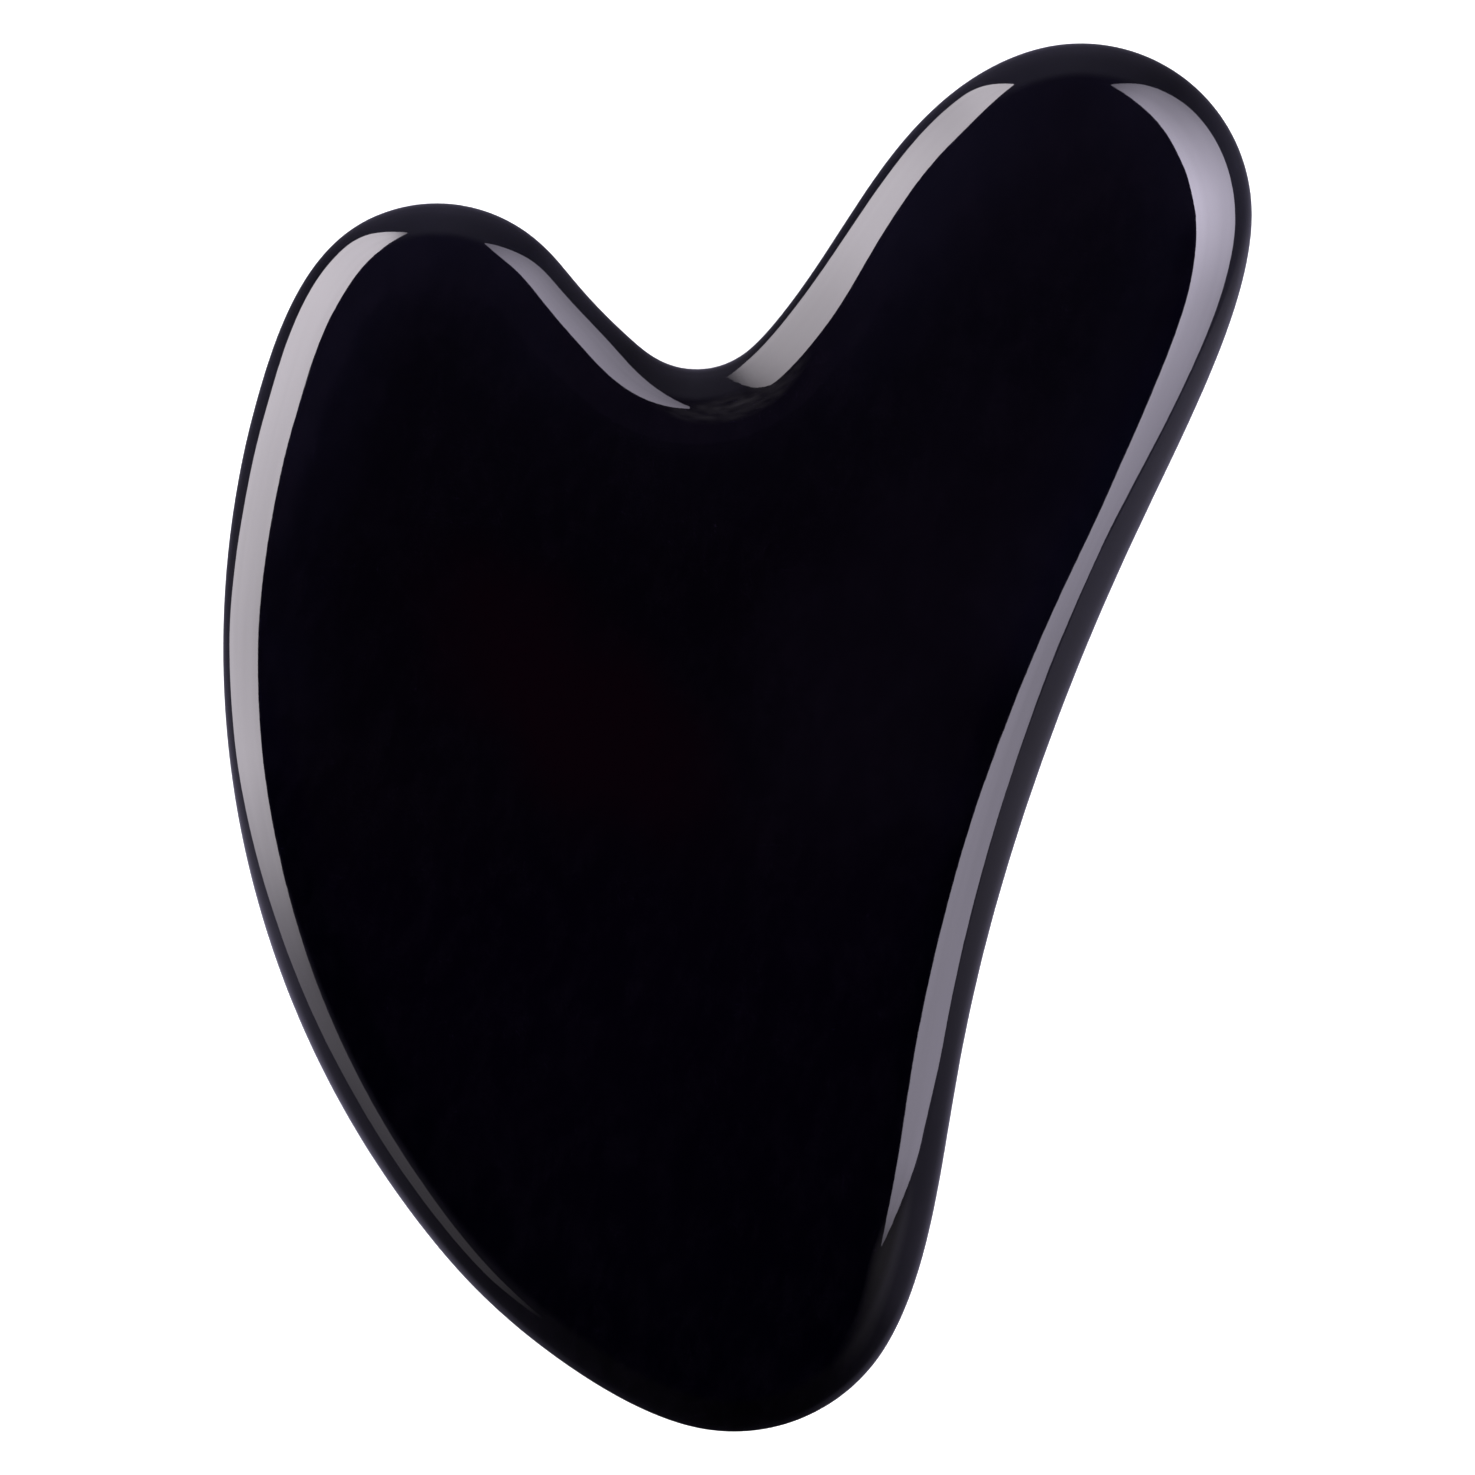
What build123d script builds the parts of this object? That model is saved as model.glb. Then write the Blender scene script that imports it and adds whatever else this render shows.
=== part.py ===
from build123d import *
import os

# A heart-shaped gua sha scraper: one plate of polished black stone with a long lobe and
# a short lobe, a notch between them, a bowed back, a rounded heel and a hollowed flank.
# Its edge is rounded all the way round, from one flat face to the other.
#
# The scraper lies on its lower face. +Z is up through its thickness and +Y runs along
# its length, towards the long lobe. The origin is on the lower face's plane, in the
# middle of the length and of the width. Millimetres and degrees.

# Driving dimensions of the finished stone
length = 84.4
width = 52.7
thickness = 6.0
edge_rounding = 4.6  # how far the rounded edge reaches in from the outline

half_length = length / 2
half_width = width / 2

# Round stretches of the outline: radius, centre, and where each arc starts and how far
# it turns. The long lobe and the heel set the length, and the back sets the width.
long_lobe_radius = 10.0
long_lobe_centre = (16.15, half_length - long_lobe_radius)
long_lobe_turn = (18.5, 105)

notch_radius = 4.7
notch_centre = (-3.85, 21.1)
notch_turn = (-34.5, -69)

short_lobe_radius = 9.0
short_lobe_centre = (-17.05, 12.65)
short_lobe_turn = (74, 63)

back_radius = 54.9
back_centre = (back_radius - half_width, 9.55)
back_turn = (-172.8, 50.6)

heel_radius = 10.4
heel_centre = (15.65, heel_radius - half_length)
heel_turn = (-81, 69)

# Points on the curves that join those arcs
slope_points = ((5.1, 33.45), (1.4, 21.4))  # from the long lobe down into the notch
saddle_points = ((-6.5, 17.1), (-10.45, 19.15))  # from the notch up to the short lobe
shoulder_point = (-26.3, 7.5)  # from the short lobe round to the back
base_point = (7.9, -40.85)  # from the back round to the heel
flank_points = ((24.75, -17.25), (23.9, 2.0), (25.0, 15.6))  # the hollow flank

# The stone is ground as a blank with a quarter round on both rims, and thinned evenly,
# which makes the rounded edge elliptical. What is left over on each face is lapped off
# last, so that both faces are truly flat.
lapping_allowance = 0.02
edge_land = 0.3  # straight band between the blank's two quarter rounds
blank_thickness = 2 * edge_rounding + edge_land
thinning = (thickness + 2 * lapping_allowance) / blank_thickness
blank_base = -lapping_allowance / thinning


def joining_curve(first, second, *points):
    """Draw a smooth curve from the end of one arc, through points, to the next arc."""
    return Spline(first @ 1, *points, second @ 0, tangents=[first % 1, second % 0])


with BuildPart() as scraper_body:
    with BuildSketch(Plane.XY.offset(blank_base)):
        with BuildLine():
            long_lobe = CenterArc(long_lobe_centre, long_lobe_radius, *long_lobe_turn)
            notch = CenterArc(notch_centre, notch_radius, *notch_turn)
            short_lobe = CenterArc(short_lobe_centre, short_lobe_radius, *short_lobe_turn)
            back = CenterArc(back_centre, back_radius, *back_turn)
            heel = CenterArc(heel_centre, heel_radius, *heel_turn)
            joining_curve(long_lobe, notch, *slope_points)
            joining_curve(notch, short_lobe, *saddle_points)
            joining_curve(short_lobe, back, shoulder_point)
            joining_curve(back, heel, base_point)
            joining_curve(heel, long_lobe, *flank_points)
        make_face()
    extrude(amount=blank_thickness)
    fillet(scraper_body.edges().filter_by(Plane.XY), radius=edge_rounding)
    scale(by=(1, 1, thinning))
    split(bisect_by=Plane.XY, keep=Keep.TOP)
    split(bisect_by=Plane.XY.offset(thickness), keep=Keep.BOTTOM)

scraper_body.part.label = "scraper_body"
os.makedirs("parts", exist_ok=True)
export_step(scraper_body.part, "parts/scraper_body.step")
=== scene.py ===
import math

import bmesh
import bpy
import numpy as np
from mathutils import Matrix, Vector, noise
from mathutils.geometry import delaunay_2d_cdt


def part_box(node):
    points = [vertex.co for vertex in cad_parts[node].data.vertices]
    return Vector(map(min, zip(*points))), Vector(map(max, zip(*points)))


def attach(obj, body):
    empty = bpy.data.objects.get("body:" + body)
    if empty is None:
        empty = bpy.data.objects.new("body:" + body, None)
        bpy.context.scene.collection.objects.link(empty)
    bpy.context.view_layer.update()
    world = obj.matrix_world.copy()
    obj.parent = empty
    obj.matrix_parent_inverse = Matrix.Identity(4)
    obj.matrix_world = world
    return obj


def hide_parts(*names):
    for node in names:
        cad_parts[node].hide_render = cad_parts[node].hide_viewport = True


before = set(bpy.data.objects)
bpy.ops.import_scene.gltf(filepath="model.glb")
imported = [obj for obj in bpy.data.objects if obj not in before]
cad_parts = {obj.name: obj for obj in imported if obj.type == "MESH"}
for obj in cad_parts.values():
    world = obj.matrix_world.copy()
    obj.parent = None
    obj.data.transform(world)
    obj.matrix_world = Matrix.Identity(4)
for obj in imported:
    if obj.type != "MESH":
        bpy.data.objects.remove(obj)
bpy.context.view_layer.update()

MM = 0.001
NODE = "scraper_body"

# ---------------------------------------------------------------- sizes from the frame
low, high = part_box(NODE)
thickness = high.z - low.z
mid_height = (high.z + low.z) / 2

# The stone's surface
EDGE_REACH = 4.6 * MM  # how far the rounded edge reaches in from the outline
CROWN = 0.10 * MM  # how much the faces swell from the edge to the middle
CROWN_REACH = 5.0 * MM  # how quickly they level out
WAVE_HEIGHT = 0.012 * MM  # the slight unevenness that hand polishing leaves
WAVE_LENGTH = 11.0 * MM
WAVE_OFFSET = 3.7  # so that the two faces differ
RIPPLE_HEIGHT = 0.006 * MM  # the notch is awkward to polish, and stays a little wrinkled
RIPPLE_LENGTH = 0.8 * MM
RIPPLE_SPREAD = 6.0 * MM  # round the notch
RIPPLE_DEPTH = 3.4 * MM  # in from the outline
RIPPLE_BREADTH = 0.7 * MM
STONE_IOR = 1.5

# The stone's mesh
OUTLINE_POINTS = 720
OUTLINE_BLUR = 0.5 * MM  # evens out the facets of the outline that the frame gives
EDGE_STEPS = 32  # rings from the outline to the face, on each side
FACE_GRID = 1.1 * MM
WELD = 0.001 * MM  # points of the frame's mesh that are nearer than this are one
BEND_WINDOW = 9  # outline points over which the notch's bend is measured

# The studio stands square to the camera, which is turned from the scraper's own axes
CAMERA_TURN = math.radians(18)
FRAME_FILL = 0.941  # the scraper's share of the picture's height
LENS = 135.0
SENSOR = 36.0


# ------------------------------------------------------------------------ stone's mesh
def cad_outline():
    """The scraper's outline at half its thickness, as one closed run of (x, y) points."""
    cut = bmesh.new()
    cut.from_mesh(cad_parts[NODE].data)
    bmesh.ops.remove_doubles(cut, verts=cut.verts, dist=WELD)
    sliced = bmesh.ops.bisect_plane(
        cut,
        geom=cut.verts[:] + cut.edges[:] + cut.faces[:],
        plane_co=(0, 0, mid_height),
        plane_no=(0, 0, 1),
    )
    edges = {e for e in sliced["geom_cut"] if isinstance(e, bmesh.types.BMEdge)}
    # Always the same start and way round, so that every run gives the same mesh
    first = vert = max((v for e in edges for v in e.verts), key=lambda v: (v.co.y, v.co.x))
    beside = [e for e in first.link_edges if e in edges]
    edge = min(beside, key=lambda e: e.other_vert(first).co.x)
    points = []
    while True:
        points.append((vert.co.x, vert.co.y))
        vert = edge.other_vert(vert)
        if vert is first:
            break
        edge = next(e for e in vert.link_edges if e in edges and e is not edge)
    cut.free()
    return np.array(points)


def even_outline(points):
    """Evenly spaced, slightly smoothed points round the outline, and outward normals."""
    loop = np.vstack([points, points[:1]])
    along = np.concatenate([[0], np.cumsum(np.hypot(*np.diff(loop, axis=0).T))])
    where = np.linspace(0, along[-1], OUTLINE_POINTS, endpoint=False)
    line = np.interp(where, along, loop[:, 0]) + 1j * np.interp(where, along, loop[:, 1])
    area = np.sum((line.conj() * np.roll(line, -1)).imag)
    if area < 0:
        line = line[::-1]
    waves = np.fft.fftfreq(OUTLINE_POINTS, along[-1] / OUTLINE_POINTS) * 2 * math.pi
    spectrum = np.fft.fft(line) * np.exp(-((waves * OUTLINE_BLUR) ** 2) / 2)
    smooth = np.fft.ifft(spectrum)
    heading = np.fft.ifft(1j * waves * spectrum)
    outward = -1j * heading / abs(heading)
    return (
        np.stack([smooth.real, smooth.imag], axis=1),
        np.stack([outward.real, outward.imag], axis=1),
    )


def inside(points, loop):
    """Which of the points lie inside the closed loop."""
    result = np.zeros(len(points), bool)
    for a, b in zip(loop, np.roll(loop, -1, axis=0)):
        crosses = (a[1] > points[:, 1]) != (b[1] > points[:, 1])
        if a[1] != b[1]:
            at = a[0] + (points[:, 1] - a[1]) * (b[0] - a[0]) / (b[1] - a[1])
            result ^= crosses & (points[:, 0] < at)
    return result


def face_points(loop):
    """Staggered rows of points that fill the loop, clear of its edge."""
    (left, front), (right, back) = loop.min(axis=0), loop.max(axis=0)
    rows = []
    for i, y in enumerate(np.arange(front, back, FACE_GRID * math.sin(math.pi / 3))):
        xs = np.arange(left + (i % 2) * FACE_GRID / 2, right, FACE_GRID)
        rows.append(np.stack([xs, np.full(len(xs), y)], axis=1))
    grid = np.vstack(rows)
    grid = grid[inside(grid, loop)]
    gap = np.array([np.hypot(*(loop - p).T).min() for p in grid])
    return grid[gap > FACE_GRID / 2], gap[gap > FACE_GRID / 2]


def notch_point(outline, outward):
    """The middle of the notch, where the outline bends inwards most."""
    heading = np.unwrap(np.arctan2(outward[:, 1], outward[:, 0]))
    turns = np.diff(np.append(heading, heading[0] + 2 * math.pi))
    bend = np.convolve(turns, np.ones(BEND_WINDOW), "same")
    return outline[bend.argmin()]


def edge_rise(depth):
    """How far up its rounding the edge has come at a depth in from the outline, 0 to 1."""
    across = max(1 - depth / EDGE_REACH, 0)
    return math.sqrt(1 - across**2)


def smooth_height(depth):
    """Height of the even surface above the middle of the thickness."""
    round_part = (thickness / 2 - CROWN - WAVE_HEIGHT - RIPPLE_HEIGHT) * edge_rise(depth)
    return round_part + CROWN * (1 - math.exp(-depth / CROWN_REACH))


def unevenness(x, y, depth, side, notch):
    """What hand polishing leaves: long waves all over, and small ripples by the notch."""
    offset = Vector((0, 0, WAVE_OFFSET * side))
    wave = WAVE_HEIGHT * noise.noise(Vector((x, y, 0)) / WAVE_LENGTH + offset)
    near = math.exp(-(((x - notch[0]) ** 2 + (y - notch[1]) ** 2) / RIPPLE_SPREAD**2))
    ripple = RIPPLE_HEIGHT * noise.noise(Vector((x, y, side * MM)) / RIPPLE_LENGTH)
    at_rounding = math.exp(-(((depth - RIPPLE_DEPTH) / RIPPLE_BREADTH) ** 2))
    return (wave + ripple * near * at_rounding) * edge_rise(depth)


def stone_mesh(outline, outward):
    """The whole scraper as one closed mesh: rings of quads round the edge, even faces."""
    mesh = bmesh.new()
    from_edge = mesh.verts.layers.float.new("from_edge")
    notch = notch_point(outline, outward)

    def add(point, depth, side):
        x, y = point
        height = smooth_height(depth) + unevenness(x, y, depth, side, notch)
        vert = mesh.verts.new((x, y, mid_height + side * height))
        vert[from_edge] = depth
        return vert

    rim = [add(p, 0, 1) for p in outline]
    for side in (1, -1):
        ring = rim
        for step in range(1, EDGE_STEPS + 1):
            angle = math.pi / 2 * step / EDGE_STEPS
            depth = EDGE_REACH * (1 - math.cos(angle))
            line = outline - outward * depth
            inner = [add(p, depth, side) for p in line]
            for i in range(OUTLINE_POINTS):
                j = (i + 1) % OUTLINE_POINTS
                quad = (ring[i], ring[j], inner[j], inner[i])
                mesh.faces.new(quad[::side])
            ring = inner
        filling, gap = face_points(line)
        verts = ring + [add(p, EDGE_REACH + g, side) for p, g in zip(filling, gap)]
        flat = [Vector(p) for p in np.vstack([line, filling])]
        border = [(i, (i + 1) % OUTLINE_POINTS) for i in range(OUTLINE_POINTS)]
        triangles = delaunay_2d_cdt(flat, border, [], 1, 1e-9)[2]
        for triangle in triangles:
            mesh.faces.new([verts[i] for i in triangle][::side])
    bmesh.ops.recalc_face_normals(mesh, faces=mesh.faces)
    for face in mesh.faces:
        face.smooth = True
    data = bpy.data.meshes.new("polished_stone")
    mesh.to_mesh(data)
    mesh.free()
    return data


# ------------------------------------------------------------------------------- tools
def new_material(name):
    material = bpy.data.materials.new(name)
    material.use_nodes = True
    material.node_tree.nodes.clear()
    return material


def add_node(tree, kind, inputs=None, **settings):
    """A node of the kind, with its settings and with values or links on its inputs."""
    node = tree.nodes.new(kind)
    for key, value in settings.items():
        setattr(node, key, value)
    for key, value in (inputs or {}).items():
        if isinstance(value, bpy.types.NodeSocket):
            tree.links.new(value, node.inputs[key])
        else:
            node.inputs[key].default_value = value
    return node


def add_ramp(tree, fac, stops):
    """A colour ramp with a colour at each of the stops, which run from 0 to 1."""
    node = add_node(tree, "ShaderNodeValToRGB", {"Fac": fac})
    elements = node.color_ramp.elements
    while len(elements) < len(stops):
        elements.new(0.5)
    for element, (position, color) in zip(elements, stops):
        element.position = position
        element.color = (*color, 1)
    return node.outputs["Color"]


def add_range(tree, value, start, end, low=0.0, high=1.0, curve="LINEAR"):
    """The value, mapped from start..end to low..high and held there."""
    settings = {
        "Value": value,
        "From Min": start,
        "From Max": end,
        "To Min": low,
        "To Max": high,
    }
    node = add_node(tree, "ShaderNodeMapRange", settings, interpolation_type=curve)
    return node.outputs["Result"]


def add_noise(tree, place, size, detail=3.0, roughness=0.5):
    """Noise whose blotches are about size metres across."""
    settings = {"Vector": place, "Scale": 1 / size, "Detail": detail, "Roughness": roughness}
    return add_node(tree, "ShaderNodeTexNoise", settings).outputs["Fac"]


def add_mix(tree, factor, first, second, blend="MIX"):
    """Two colours mixed by a factor. Each of the three is a value or a link."""
    node = add_node(tree, "ShaderNodeMix", data_type="RGBA", blend_type=blend)
    for index, value in ((0, factor), (6, first), (7, second)):
        if isinstance(value, bpy.types.NodeSocket):
            tree.links.new(value, node.inputs[index])
        elif index:
            node.inputs[index].default_value = (*value, 1)
        else:
            node.inputs[index].default_value = value
    return node.outputs[2]


def add_product(tree, first, second):
    node = add_node(tree, "ShaderNodeMath", {0: first, 1: second}, operation="MULTIPLY")
    return node.outputs["Value"]


# --------------------------------------------------------------------------- materials
PATCH_DEPTH = 20 * MM  # patches reach through the whole thickness
PATCH_FULL = 0.3  # where a patch is full and where it ends, in its own half-sizes
PATCH_ENDS = 1.3


def patch(tree, place, centre, half_length, half_breadth, turn, ragged):
    """1 inside a turned oval of the stone and 0 outside it, with a ragged border."""
    settings = {
        "Vector": place,
        "Location": centre,
        "Rotation": (0, 0, turn),
        "Scale": (half_length, half_breadth, PATCH_DEPTH),
    }
    oval = add_node(tree, "ShaderNodeMapping", settings, vector_type="TEXTURE")
    far = add_node(
        tree, "ShaderNodeVectorMath", {0: oval.outputs["Vector"]}, operation="LENGTH"
    )
    edge = add_node(
        tree, "ShaderNodeMath", {0: far.outputs["Value"], 1: ragged}, operation="ADD"
    )
    return add_range(tree, edge.outputs["Value"], PATCH_ENDS, PATCH_FULL, curve="SMOOTHSTEP")


def on_face(eye, right, up):
    """A point inside the stone, by its distances from the middle of the picture."""
    rightward, upward = studio_axes()
    return Vector((*(np.array(eye[:2]) + rightward * right + upward * up), mid_height))


def stone_color_and_sheen(tree, place, eye):
    """Almost black, faintly clouded and mottled, with a veil, a heart, and a painted bluish
    sheen towards the edge of the lobes.
    """
    # Cool clouds with a fine mottle in them
    clouds = add_noise(tree, place, 9 * MM, detail=4)
    cloud_color = add_ramp(
        tree,
        clouds,
        ((0.35, (0.00006, 0.00002, 0.00024)), (0.70, (0.00026, 0.00016, 0.0005))),
    )
    along = add_node(
        tree,
        "ShaderNodeMapping",
        {"Vector": place, "Rotation": (0, 0, math.radians(20)), "Scale": (1, 0.45, 1)},
    ).outputs["Vector"]
    mottle = add_noise(tree, along, 1.1 * MM, detail=6, roughness=0.7)
    mottle_strength = add_range(tree, mottle, 0.45, 0.72)
    mottled = add_mix(tree, mottle_strength, cloud_color, (0.0010, 0.0007, 0.0014))

    # A grey veil right of the middle, and the heart, where light comes back dark red
    ragged = add_range(tree, clouds, 0.3, 0.7, -0.35, 0.35)
    veil_centre = on_face(eye, 9.0 * MM, 4.5 * MM)
    veil_turn = CAMERA_TURN + math.radians(64)
    veil = patch(tree, place, veil_centre, 18 * MM, 9 * MM, veil_turn, ragged)
    veiled = add_mix(tree, veil, mottled, (0.0008, 0.0006, 0.0011), "ADD")
    heart_centre = on_face(eye, -8.6 * MM, 0.8 * MM)
    heart_turn = CAMERA_TURN + math.radians(-41)
    heart = patch(tree, place, heart_centre, 12.5 * MM, 5.5 * MM, heart_turn, ragged)
    hearted = add_mix(tree, heart, veiled, (0.0013, 0.00005, 0.0004))

    # Painted reflection: round the lobes the colour turns lighter and bluer towards the edge, a
    # painted sheen standing in for the edge's bluish mirrored rim, except at the notch between
    # them
    depth = add_node(tree, "ShaderNodeAttribute", attribute_name="from_edge").outputs["Fac"]
    near_edge = add_range(tree, depth, 9 * MM, 1 * MM, curve="SMOOTHSTEP")
    lobes_centre = on_face(eye, 0, 24 * MM)
    lobes = patch(tree, place, lobes_centre, 46 * MM, 30 * MM, CAMERA_TURN, ragged)
    notch_centre = on_face(eye, -2 * MM, 16 * MM)
    notch = patch(tree, place, notch_centre, 17 * MM, 15 * MM, 0, ragged)
    off_notch = add_range(tree, notch, 0, 1, 1, 0)
    painted_edge_sheen = add_product(tree, add_product(tree, lobes, off_notch), near_edge)
    # The bluish colour added here is painted sheen, not the stone's own colour
    return add_mix(tree, painted_edge_sheen, hearted, (0.0014, 0.0014, 0.0034), "ADD")


def stone_polish(tree, place):
    """Roughness: smudges, and hairlines that the felt wheel left along the stone."""
    smudges = add_noise(tree, place, 5 * MM, detail=5, roughness=0.6)
    along = add_node(
        tree,
        "ShaderNodeMapping",
        {"Vector": place, "Rotation": (0, 0, math.radians(-12)), "Scale": (1, 0.03, 1)},
    ).outputs["Vector"]
    hairs = add_noise(tree, along, 0.25 * MM, detail=2)
    return add_node(
        tree,
        "ShaderNodeMath",
        {
            0: add_range(tree, smudges, 0.35, 0.75, 0.028, 0.055),
            1: add_range(tree, hairs, 0.62, 0.80, 0.0, 0.035),
        },
        operation="ADD",
    ).outputs["Value"]


def black_stone(eye):
    """Polished black stone."""
    material = new_material("black_stone")
    tree = material.node_tree
    place = add_node(tree, "ShaderNodeTexCoord").outputs["Object"]
    peel = add_noise(tree, place, 0.8 * MM, detail=2)
    bump = add_node(
        tree, "ShaderNodeBump", {"Height": peel, "Strength": 0.5, "Distance": 0.004 * MM}
    )
    stone = add_node(
        tree,
        "ShaderNodeBsdfPrincipled",
        {
            "Base Color": stone_color_and_sheen(tree, place, eye),
            "Roughness": stone_polish(tree, place),
            "IOR": STONE_IOR,
            "Normal": bump.outputs["Normal"],
        },
    )
    add_node(tree, "ShaderNodeOutputMaterial", {"Surface": stone.outputs[0]})
    return material


def paper_white():
    material = new_material("paper_white")
    tree = material.node_tree
    shader = add_node(
        tree,
        "ShaderNodeBsdfPrincipled",
        {
            "Base Color": (0.9, 0.9, 0.9, 1),
            "Roughness": 0.9,
            "Specular IOR Level": 0.0,
            "Emission Color": (1, 1, 1, 1),
            "Emission Strength": 0.6,
        },
    )
    add_node(tree, "ShaderNodeOutputMaterial", {"Surface": shader.outputs[0]})
    return material


# ------------------------------------------------------------------------------ studio
def studio_axes():
    """Right and up in the picture, as directions on the floor."""
    c, s = math.cos(CAMERA_TURN), math.sin(CAMERA_TURN)
    return np.array((c, s)), np.array((-s, c))


def eye_position(outline):
    """Straight above the scraper, so far that it fills its share of the picture."""
    right, up = studio_axes()
    across, along = outline @ right, outline @ up
    middle = right * (across.min() + across.max()) / 2 + up * (along.min() + along.max()) / 2
    view_width = (along.max() - along.min()) / FRAME_FILL
    return Vector((middle[0], middle[1], mid_height + view_width * LENS / SENSOR))


def camera(eye):
    data = bpy.data.cameras.new("camera")
    data.lens = LENS
    data.sensor_width = SENSOR
    cam = bpy.data.objects.new("camera", data)
    cam.location = eye
    cam.rotation_euler = (0, 0, CAMERA_TURN)
    bpy.context.scene.collection.objects.link(cam)
    bpy.context.scene.camera = cam


# Strip lights curve round the stone's edge, and each is laid out from the highlight that it
# makes there. Its knots are: millimetres clockwise round the outline from the picture's
# topmost point, depths in from the outline (mm, as the camera sees them) of the highlight's
# outer and inner edge, and its brightness beside each of these.
FLANK_STRIP = (
    (2.0, 2.20, 2.25, 0.10, 0.10),
    (4.5, 1.50, 2.70, 0.15, 0.25),
    (7.5, 1.10, 3.05, 0.15, 0.32),
    (10.5, 1.00, 3.35, 0.25, 0.42),
    (14.2, 1.00, 3.40, 0.34, 0.54),
    (17.0, 0.95, 3.20, 0.33, 0.50),
    (21.3, 1.00, 2.85, 0.23, 0.36),
    (28.4, 1.20, 2.65, 0.20, 0.28),
    (36.0, 1.50, 2.45, 0.19, 0.24),
    (44.0, 1.55, 2.65, 0.17, 0.21),
    (54.0, 1.40, 2.80, 0.18, 0.22),
    (68.0, 1.15, 2.70, 0.19, 0.20),
    (74.0, 1.50, 2.60, 0.19, 0.19),
    (77.5, 2.10, 2.60, 0.13, 0.13),
    (79.5, 2.45, 2.50, 0.05, 0.05),
)
FLANK_RIM_STRIP = (
    (16.0, 0.10, 0.45, 0.0, 0.0),
    (18.9, 0.10, 0.60, 0.020, 0.006),
    (24.0, 0.10, 0.95, 0.024, 0.011),
    (30.0, 0.10, 1.15, 0.022, 0.013),
    (38.0, 0.10, 1.45, 0.014, 0.012),
    (52.0, 0.10, 1.40, 0.016, 0.010),
    (60.0, 0.10, 1.20, 0.009, 0.008),
    (68.0, 0.10, 1.10, 0.003, 0.003),
    (74.0, 0.10, 1.10, 0.0, 0.0),
)
TAIL_STRIP = (
    (75.0, 1.30, 2.30, 0.0, 0.0),
    (78.0, 1.15, 2.80, 0.010, 0.012),
    (80.5, 1.15, 3.00, 0.011, 0.012),
    (83.5, 1.00, 2.60, 0.007, 0.006),
    (86.5, 0.80, 2.30, 0.002, 0.002),
    (88.5, 0.80, 2.00, 0.0, 0.0),
)
BACK_STRIP = (
    (109.5, 1.25, 1.35, 0.0, 0.0),
    (113.5, 1.00, 1.40, 0.022, 0.022),
    (120.5, 0.98, 1.55, 0.028, 0.03),
    (127.5, 0.95, 1.65, 0.036, 0.045),
    (134.8, 0.80, 1.75, 0.075, 0.065),
    (138.5, 0.72, 1.82, 0.13, 0.13),
    (142.0, 0.60, 1.87, 0.23, 0.25),
    (148.0, 0.42, 1.92, 0.41, 0.38),
    (156.0, 0.36, 2.05, 0.41, 0.34),
    (163.0, 0.58, 2.30, 0.44, 0.41),
    (170.0, 0.68, 2.45, 0.50, 0.46),
    (177.5, 0.58, 2.35, 0.55, 0.50),
    (181.0, 0.60, 2.05, 0.50, 0.50),
    (182.4, 0.90, 1.88, 0.48, 0.48),
    (183.8, 1.38, 1.62, 0.38, 0.38),
    (184.4, 1.50, 1.55, 0.10, 0.10),
)
SHORT_LOBE_STRIP = (
    (190.2, 1.75, 1.80, 0.10, 0.10),
    (191.5, 1.50, 2.10, 0.14, 0.17),
    (194.0, 1.00, 2.15, 0.15, 0.24),
    (198.5, 0.90, 2.25, 0.15, 0.24),
    (201.0, 1.05, 2.45, 0.15, 0.21),
    (203.3, 1.50, 2.42, 0.14, 0.19),
    (204.8, 2.20, 2.32, 0.10, 0.13),
)
LONG_LOBE_STRIP = (
    (206.6, 0.75, 0.80, 0.02, 0.02),
    (206.9, 0.58, 1.50, 0.13, 0.04),
    (207.2, 0.50, 2.42, 0.18, 0.07),
    (208.6, 0.38, 2.42, 0.28, 0.24),
    (210.5, 0.36, 2.45, 0.33, 0.30),
    (213.0, 0.38, 2.45, 0.37, 0.33),
    (217.5, 0.46, 2.20, 0.45, 0.45),
    (221.5, 0.52, 2.15, 0.45, 0.46),
    (226.5, 0.50, 2.15, 0.36, 0.39),
    (229.0, 0.55, 1.85, 0.44, 0.44),
    (230.9, 1.45, 1.50, 0.40, 0.40),
)
NOTCH_STRIP = (
    (203.2, 2.20, 2.60, 0.0, 0.0),
    (205.0, 1.90, 3.30, 0.008, 0.006),
    (207.4, 1.50, 3.50, 0.010, 0.008),
    (209.0, 2.20, 3.30, 0.006, 0.005),
    (210.8, 2.40, 2.80, 0.0, 0.0),
)
# How far a strip is from the stone
FAR = 12 * MM
CLOSE = 4 * MM  # nearer than the notch's radius, so that the strip's rays don't cross
# A strip's finish: how strong its blotches are, how many columns long they are, and whether
# the strip fades towards both its sides
EVEN = (0.05, 40.0, False)
SOFT = (0.05, 40.0, True)
DAPPLED = (1.6, 1.8, True)
STRIP_STEP = 0.25 * MM  # from one column of points to the next
STRIP_ROWS = 14
BLOTCH_ROWS = 1.7  # how many rows wide a blotch is
SMOOTHING = 9  # columns over which the corners at the knots are rounded off
GRID_FULL = math.radians(6)  # how far from its own direction a strip shines fully
GRID_NONE = math.radians(12)  # and from where on it doesn't shine at all
PARALLAX_ROUNDS = 4
SLOPE_STEP = 0.001 * MM
LEFT_COLOR = (1.02, 0.955, 1.03)
RIGHT_COLOR = (0.99, 0.92, 1.13)


def fresnel(cosine):
    """The share of light that the stone reflects, by the cosine of the angle of incidence."""
    g = math.sqrt(STONE_IOR**2 - 1 + cosine**2)
    first = ((g - cosine) / (g + cosine)) ** 2
    second = ((cosine * (g + cosine) - 1) / (cosine * (g - cosine) + 1)) ** 2
    return first * (1 + second) / 2


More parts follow.
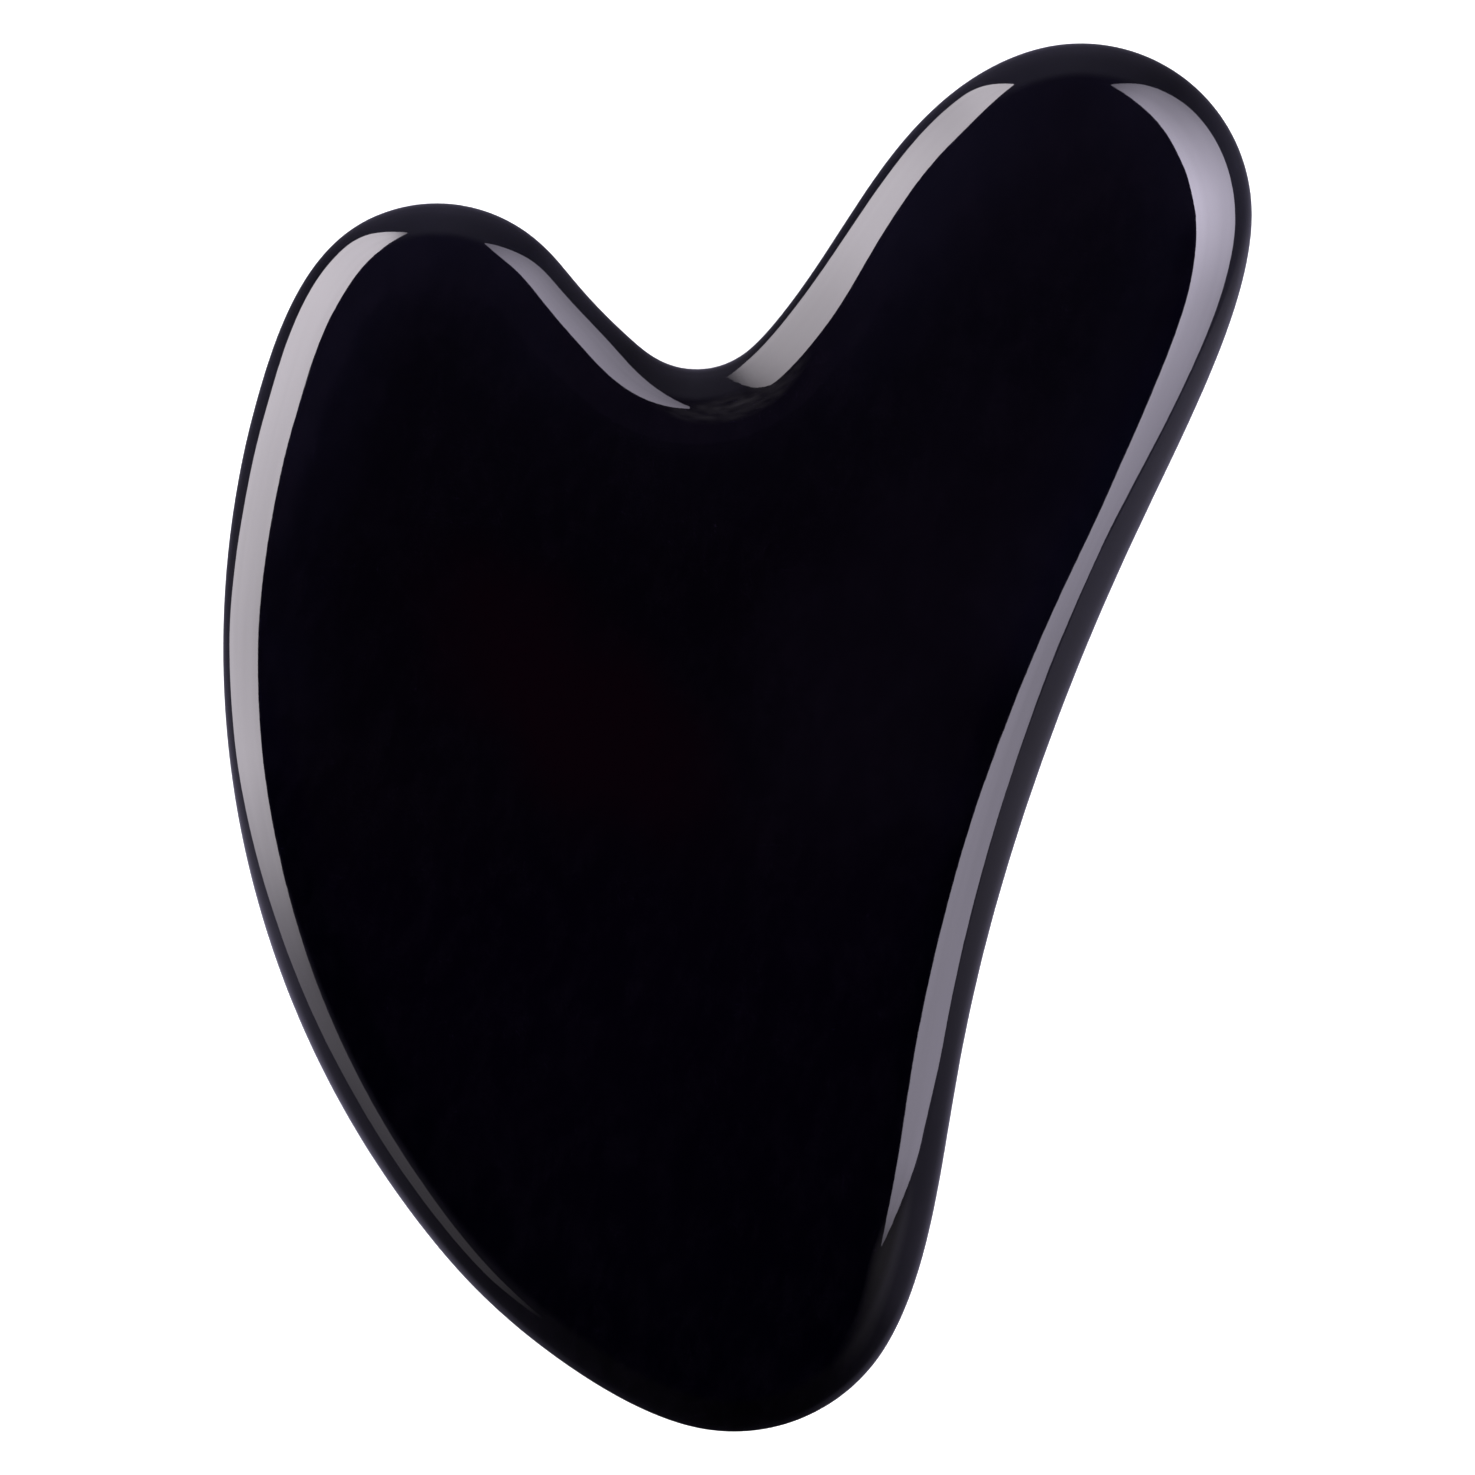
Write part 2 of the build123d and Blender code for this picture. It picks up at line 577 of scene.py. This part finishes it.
def outline_place(outline, outward, distances):
    """Points and outward directions at distances clockwise from the picture's topmost point."""
    up = studio_axes()[1]
    top = (outline @ up).argmax()
    closed = np.vstack([outline, outline[:1]])
    spacing = np.hypot(*np.diff(closed, axis=0).T).mean()
    index = top - distances / spacing
    number = np.arange(OUTLINE_POINTS)
    columns = [
        np.interp(index, number, values, period=OUTLINE_POINTS)
        for values in (*outline.T, *outward.T)
    ]
    return np.stack(columns[:2], axis=1), np.stack(columns[2:], axis=1)


def reflected(point, away, seen_depth, eye):
    """Where a ray from the eye meets the edge and goes on to, and the share it keeps."""
    # What is higher looks shifted outwards, so its true depth is greater than the seen one
    drop = eye.z - mid_height
    off_axis = (point - away * seen_depth - np.array(eye[:2])) @ away
    depth = seen_depth
    for _ in range(PARALLAX_ROUNDS):
        depth = seen_depth + off_axis * smooth_height(depth) / drop
    rise = smooth_height(depth + SLOPE_STEP) - smooth_height(depth - SLOPE_STEP)
    slope = rise / (2 * SLOPE_STEP)
    spot = Vector((*(point - away * depth), mid_height + smooth_height(depth)))
    normal = Vector((*(away * slope), 1)).normalized()
    view = (eye - spot).normalized()
    cosine = normal.dot(view)
    return spot, 2 * cosine * normal - view, fresnel(cosine)


def strip_light(name, knots, color, distance, finish, outline, outward, eye):
    """A curved strip of light, gridded so that it shines on the edge beside it alone."""
    blotch_strength, blotch_length, fades = finish
    distances = np.array([k[0] for k in knots]) * MM
    columns = int((distances[-1] - distances[0]) / STRIP_STEP)
    where = np.linspace(distances[0], distances[-1], columns)

    def track(values):
        coarse = np.interp(where, distances, values)
        padded = np.pad(coarse, SMOOTHING // 2, mode="reflect", reflect_type="odd")
        return np.convolve(padded, np.ones(SMOOTHING) / SMOOTHING, mode="valid")

    outer, inner, outer_light, inner_light = (
        track([k[i] for k in knots]) for i in range(1, 5)
    )
    points, aways = outline_place(outline, outward, where)
    verts, aims, glows = [], [], []
    for i in range(columns):
        for j in range(STRIP_ROWS):
            t = j / (STRIP_ROWS - 1)
            depth = (outer[i] + (inner[i] - outer[i]) * t) * MM
            spot, ray, share = reflected(points[i], aways[i], depth, eye)
            light = outer_light[i] + (inner_light[i] - outer_light[i]) * t
            if fades:
                light *= math.sin(math.pi * t)
            across = Vector((i / blotch_length, j / BLOTCH_ROWS, len(knots)))
            light *= 1 + blotch_strength * noise.noise(across)
            verts.append(spot + ray * distance)
            aims.extend(-ray)
            glows.extend([light / share * c for c in color] + [1])
    faces = []
    for i in range(columns - 1):
        for j in range(STRIP_ROWS - 1):
            a = i * STRIP_ROWS + j
            faces.append((a, a + 1, a + STRIP_ROWS + 1, a + STRIP_ROWS))
    data = bpy.data.meshes.new(name)
    data.from_pydata(verts, [], faces)
    data.attributes.new("aim", "FLOAT_VECTOR", "POINT").data.foreach_set("vector", aims)
    data.attributes.new("glow", "FLOAT_COLOR", "POINT").data.foreach_set("color", glows)
    data.materials.append(strip_material(name))
    sheet = bpy.data.objects.new(name, data)
    bpy.context.scene.collection.objects.link(sheet)
    sheet.visible_camera = False
    sheet.visible_diffuse = False
    sheet.visible_shadow = False
    sheet.visible_transmission = False


def strip_material(name):
    """Light that leaves only near the strip's own direction, as through a grid."""
    full, none = 1 - math.cos(GRID_FULL), 1 - math.cos(GRID_NONE)
    material = new_material(name)
    tree = material.node_tree
    aim = add_node(tree, "ShaderNodeAttribute", attribute_name="aim").outputs["Vector"]
    glow = add_node(tree, "ShaderNodeAttribute", attribute_name="glow").outputs["Color"]
    facing = add_node(
        tree, "ShaderNodeLayerWeight", {"Blend": 0.5, "Normal": aim}
    ).outputs["Facing"]
    grid = add_range(tree, facing, full, none, 1.0, 0.0)
    light = add_node(tree, "ShaderNodeEmission", {"Color": glow, "Strength": grid})
    clear = add_node(tree, "ShaderNodeBsdfTransparent")
    both = add_node(
        tree, "ShaderNodeAddShader", {0: light.outputs[0], 1: clear.outputs[0]}
    )
    add_node(tree, "ShaderNodeOutputMaterial", {"Surface": both.outputs[0]})
    material.cycles.emission_sampling = "NONE"
    return material


FLOOR_RADIUS = 0.9
SWEEP_RADIUS = 0.5
WALL_TOP = 1.5
WALL_SEGMENTS = 96
SWEEP_STEPS = 12


def backdrop():
    """White paper: a round floor that sweeps up into a wall all round."""
    profile = [(FLOOR_RADIUS, 0.0)]
    for i in range(1, SWEEP_STEPS + 1):
        angle = math.pi / 2 * i / SWEEP_STEPS
        profile.append(
            (
                FLOOR_RADIUS + SWEEP_RADIUS * math.sin(angle),
                SWEEP_RADIUS * (1 - math.cos(angle)),
            )
        )
    profile.append((FLOOR_RADIUS + SWEEP_RADIUS, WALL_TOP))
    verts = []
    for radius, height in profile:
        for k in range(WALL_SEGMENTS):
            angle = 2 * math.pi * k / WALL_SEGMENTS
            verts.append(
                (radius * math.cos(angle), radius * math.sin(angle), low.z + height)
            )
    faces = [tuple(range(WALL_SEGMENTS))]
    for ring in range(len(profile) - 1):
        for k in range(WALL_SEGMENTS):
            a = ring * WALL_SEGMENTS + k
            b = ring * WALL_SEGMENTS + (k + 1) % WALL_SEGMENTS
            faces.append((a, a + WALL_SEGMENTS, b + WALL_SEGMENTS, b))
    data = bpy.data.meshes.new("backdrop")
    data.from_pydata(verts, [], faces)
    data.shade_smooth()
    data.materials.append(paper_white())
    paper = bpy.data.objects.new("backdrop", data)
    bpy.context.scene.collection.objects.link(paper)
    paper.visible_glossy = False


def soft_light():
    light = bpy.data.lights.new("overhead", "AREA")
    light.shape = "SQUARE"
    light.size = 1.4
    light.energy = 9.0
    lamp = bpy.data.objects.new("overhead", light)
    lamp.location = (0, 0, 1.2)
    lamp.visible_glossy = False
    bpy.context.scene.collection.objects.link(lamp)


# The room that the stone mirrors, below and level with it. By compass, clockwise from the
# picture's bottom: bottom 0, left 0.25, top 0.5, right 0.75.
ROOM_BELOW = (
    (0.00, 0.010),
    (0.055, 0.020),
    (0.083, 0.05),
    (0.106, 0.16),
    (0.133, 0.34),
    (0.17, 0.46),
    (0.20, 0.52),
    (0.26, 0.18),
    (0.36, 0.11),
    (0.43, 0.19),
    (0.50, 0.21),
    (0.60, 0.12),
    (0.69, 0.23),
    (0.76, 0.36),
    (0.81, 0.33),
    (0.84, 0.24),
    (0.87, 0.21),
    (0.90, 0.13),
    (0.94, 0.03),
    (1.00, 0.010),
)
ROOM_LEVEL = (
    (0.00, 0.008),
    (0.083, 0.03),
    (0.13, 0.10),
    (0.15, 0.18),
    (0.18, 0.32),
    (0.20, 0.50),
    (0.25, 0.25),
    (0.36, 0.12),
    (0.43, 0.24),
    (0.50, 0.29),
    (0.60, 0.14),
    (0.69, 0.30),
    (0.76, 0.26),
    (0.80, 0.30),
    (0.82, 0.24),
    (0.84, 0.11),
    (0.87, 0.06),
    (0.90, 0.03),
    (0.94, 0.010),
    (1.00, 0.008),
)
ROOM_TINT = (0.95, 0.88, 1.27)
# Overhead, from the picture's bottom to its top
ROOM_OVERHEAD = (
    (0.00, (0.003, 0.002, 0.022)),
    (0.35, (0.013, 0.004, 0.036)),
    (0.45, (0.020, 0.011, 0.036)),
    (0.64, (0.020, 0.011, 0.036)),
    (0.80, (0.036, 0.028, 0.066)),
    (0.95, (0.064, 0.050, 0.110)),
)
OVERHEAD_REACH = 0.12
BELOW_ENDS = math.sin(math.radians(-32))
LEVEL_STARTS = math.sin(math.radians(-12))
LEVEL_ENDS = math.sin(math.radians(30))
OVERHEAD_STARTS = math.sin(math.radians(44))


def surroundings():
    """A dim room, lighter level with the stone than overhead."""
    world = bpy.data.worlds.new("room")
    bpy.context.scene.world = world
    world.use_nodes = True
    tree = world.node_tree
    tree.nodes.clear()
    way = add_node(tree, "ShaderNodeTexCoord").outputs["Generated"]
    turned = add_node(
        tree,
        "ShaderNodeVectorRotate",
        {"Vector": way, "Angle": -CAMERA_TURN},
        rotation_type="Z_AXIS",
    ).outputs["Vector"]
    parts = add_node(tree, "ShaderNodeSeparateXYZ", {"Vector": turned}).outputs
    compass = add_node(
        tree, "ShaderNodeMath", {0: parts["X"], 1: parts["Y"]}, operation="ARCTAN2"
    ).outputs["Value"]
    turn = add_range(tree, compass, -math.pi, math.pi)
    below, level = (
        add_ramp(tree, turn, [(at, [value * c for c in ROOM_TINT]) for at, value in room])
        for room in (ROOM_BELOW, ROOM_LEVEL)
    )
    overhead = add_ramp(
        tree, add_range(tree, parts["Y"], -OVERHEAD_REACH, OVERHEAD_REACH), ROOM_OVERHEAD
    )
    rising = add_range(tree, parts["Z"], BELOW_ENDS, LEVEL_STARTS, curve="SMOOTHSTEP")
    raised = add_range(tree, parts["Z"], LEVEL_ENDS, OVERHEAD_STARTS, curve="SMOOTHSTEP")
    room = add_mix(tree, raised, add_mix(tree, rising, below, level), overhead)
    shader = add_node(tree, "ShaderNodeBackground", {"Color": room, "Strength": 1.0})
    add_node(tree, "ShaderNodeOutputWorld", {"Surface": shader.outputs[0]})


# --------------------------------------------------------------------------- the scene
outline, outward = even_outline(cad_outline())
eye = eye_position(outline)
data = stone_mesh(outline, outward)
stone = bpy.data.objects.new("polished_stone", data)
bpy.context.scene.collection.objects.link(stone)
data.materials.append(black_stone(eye))
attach(stone, "root")
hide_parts(NODE)

bpy.context.scene.view_settings.view_transform = "Standard"
backdrop()
soft_light()
surroundings()
camera(eye)
for name, knots, color, distance, finish in (
    ("flank_strip", FLANK_STRIP, RIGHT_COLOR, FAR, EVEN),
    ("flank_rim_strip", FLANK_RIM_STRIP, RIGHT_COLOR, FAR, EVEN),
    ("tail_strip", TAIL_STRIP, LEFT_COLOR, FAR, SOFT),
    ("back_strip", BACK_STRIP, LEFT_COLOR, FAR, EVEN),
    ("short_lobe_strip", SHORT_LOBE_STRIP, RIGHT_COLOR, CLOSE, EVEN),
    ("notch_strip", NOTCH_STRIP, LEFT_COLOR, CLOSE, DAPPLED),
    ("long_lobe_strip", LONG_LOBE_STRIP, LEFT_COLOR, CLOSE, EVEN),
):
    strip_light(name, knots, color, distance, finish, outline, outward, eye)
